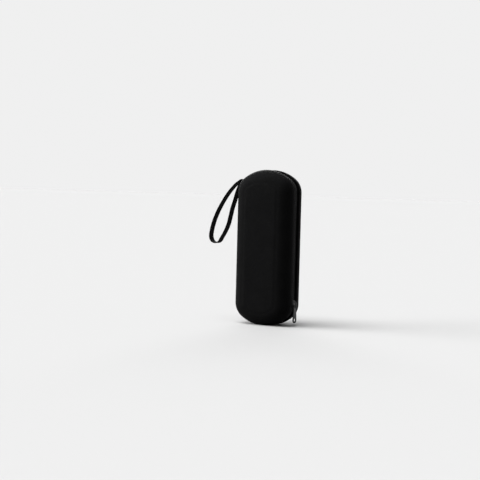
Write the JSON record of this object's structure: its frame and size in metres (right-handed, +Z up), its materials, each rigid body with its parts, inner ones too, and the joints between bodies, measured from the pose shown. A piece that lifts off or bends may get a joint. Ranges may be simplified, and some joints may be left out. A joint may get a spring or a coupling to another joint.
{
  "type": "insulin cooling travel case",
  "caption": "Stand-up clamshell travel case with foil-lined insulated shells, gel packs, pen loops, zip closure and wrist strap.",
  "frame": {"origin": "middle of the foot, on the surface that the case stands on, midway between the two halves", "axes": "+Z up along the case's length, -Y out of the lid's face, the cloth hinge at -X and the zip's slider at +X"},
  "size_m": [0.1364, 0.0512, 0.206],
  "materials": {
    "shell_cloth": "tightly woven black polyester skin on moulded foam",
    "foil_foam": "crinkled silver foil on foam",
    "zip_tape": "woven black polyester tape",
    "zip_teeth": "moulded black teeth",
    "slider_metal": "black enamelled die-cast metal",
    "gel_film": "clear film over blue gel",
    "divider_cloth": "dark grey knitted lining on foam",
    "elastic": "ribbed black elastic",
    "net": "black knitted net",
    "webbing": "black woven polyester webbing"
  },
  "bodies": {
    "case_back": {"rear_shell": "shell_cloth", "rear_liner": "foil_foam", "rear_edge_binding": "zip_tape", "rear_zip_tape": "zip_tape", "rear_zip_teeth": "zip_teeth", "rear_stop_top": "slider_metal", "rear_stop_bottom": "slider_metal", "rear_gel_pack": "gel_film", "hinge_cloth": "zip_tape", "pen_panel": "divider_cloth", "lower_pen_band": "elastic", "upper_pen_band": "elastic", "strap_tab": "webbing"},
    "lid": {"front_shell": "shell_cloth", "front_liner": "foil_foam", "front_edge_binding": "zip_tape", "front_zip_tape": "zip_tape", "front_zip_teeth": "zip_teeth", "front_stop_top": "slider_metal", "front_stop_bottom": "slider_metal", "front_gel_pack": "gel_film", "pocket_net": "net", "pocket_elastic": "elastic"},
    "slider": {"slider_top_plate": "slider_metal", "slider_back_plate": "slider_metal", "slider_bail": "slider_metal"},
    "pull": {"zip_pull": "slider_metal"},
    "strap": {"wrist_strap": "webbing"}
  },
  "joints": [
    {"name": "lid_hinge", "type": "hinge", "parent": "case_back", "child": "lid", "pos_m": [-0.042, 0, 0.10225], "axis": [0, 0, -1], "range_deg": [0, 180], "deforming": ["hinge_cloth", "wrist_strap"]},
    {"name": "slider_travel", "type": "slide", "parent": "case_back", "child": "slider", "axis": [0, 0, 1], "range_m": [0, 0.138]},
    {"name": "pull_swing", "type": "hinge", "parent": "slider", "child": "pull", "pos_m": [0.04255, 0, 0.0277], "axis": [0, -1, 0], "range_deg": [0, 125]},
    {"name": "strap_swing", "type": "hinge", "parent": "case_back", "child": "strap", "pos_m": [-0.04203, 0.0034, 0.19205], "axis": [0, 1, 0], "range_deg": [0, 120]}
  ]
}
